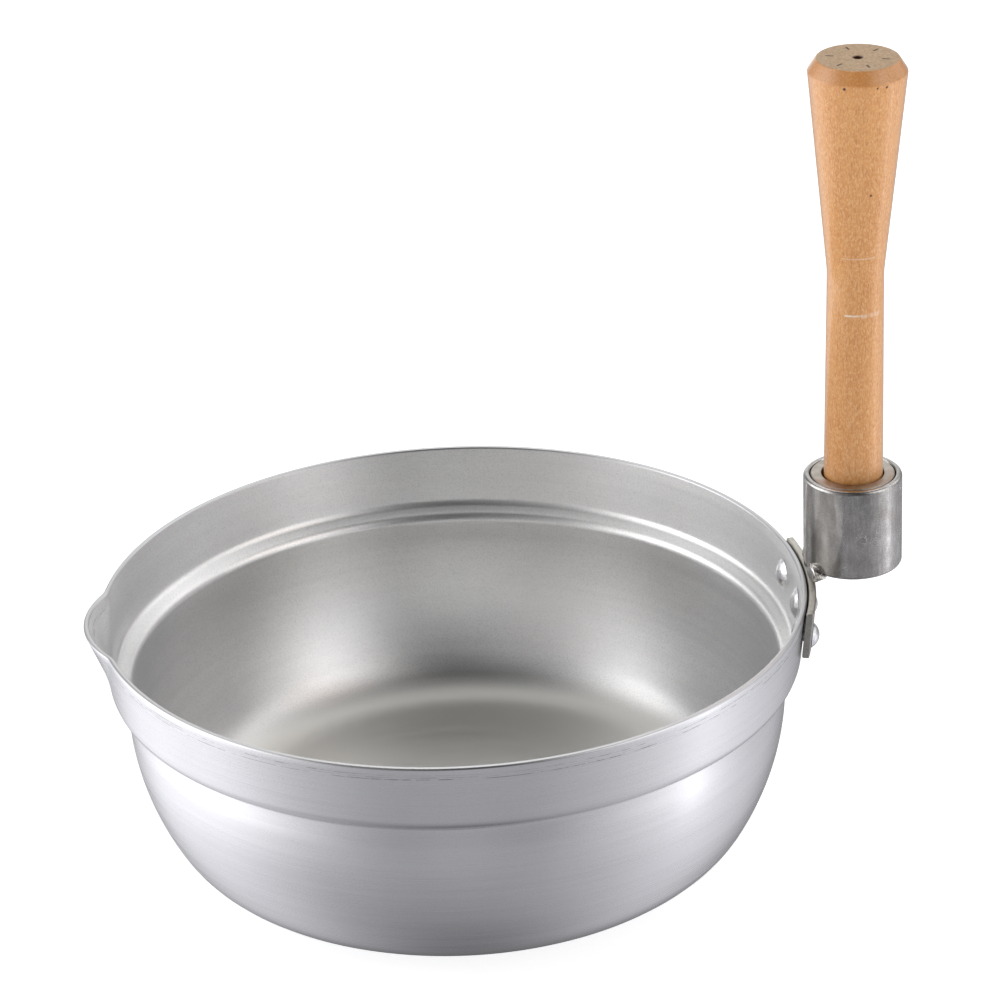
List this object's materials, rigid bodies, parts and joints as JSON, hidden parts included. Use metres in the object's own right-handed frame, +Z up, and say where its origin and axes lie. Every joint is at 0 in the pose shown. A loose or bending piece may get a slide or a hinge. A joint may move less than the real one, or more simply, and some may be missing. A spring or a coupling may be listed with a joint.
{
  "type": "pouring pot with upright handle",
  "caption": "Spun aluminium melting pot with a flared banded rim, a pressed pouring lip, and an upright turned wooden handle in a riveted round socket.",
  "frame": {"origin": "centre of the flat underside of the bowl, at the height of the table it stands on", "axes": "+Z up along the bowl's axis; +X from the bowl's axis towards the upright handle; the pouring lip is on -X"},
  "size_m": [0.233, 0.2, 0.2277],
  "materials": {
    "spun_aluminium": "satin, fine rings from spinning",
    "dull_steel": "dull grey plate with a paler top edge",
    "rivet_aluminium": "smooth pressed heads",
    "weld_metal": "bright, lumpy weld metal",
    "socket_steel": "dull grey drawn tube with small scratches",
    "bush_steel": "worn, slightly stained ring",
    "varnished_wood": "turned pale hardwood under clear varnish",
    "screw_steel": "plated screw steel"
  },
  "bodies": {
    "root": {"bowl": "spun_aluminium", "bracket_plate": "dull_steel", "rivet_1": "rivet_aluminium", "rivet_2": "rivet_aluminium", "rivet_3": "rivet_aluminium", "bracket_weld": "weld_metal", "socket_sleeve": "socket_steel", "socket_bush": "bush_steel", "bush_weld": "weld_metal", "socket_floor": "socket_steel", "handle": "varnished_wood", "handle_screw": "screw_steel", "screw_washer": "screw_steel"}
  },
  "joints": []
}
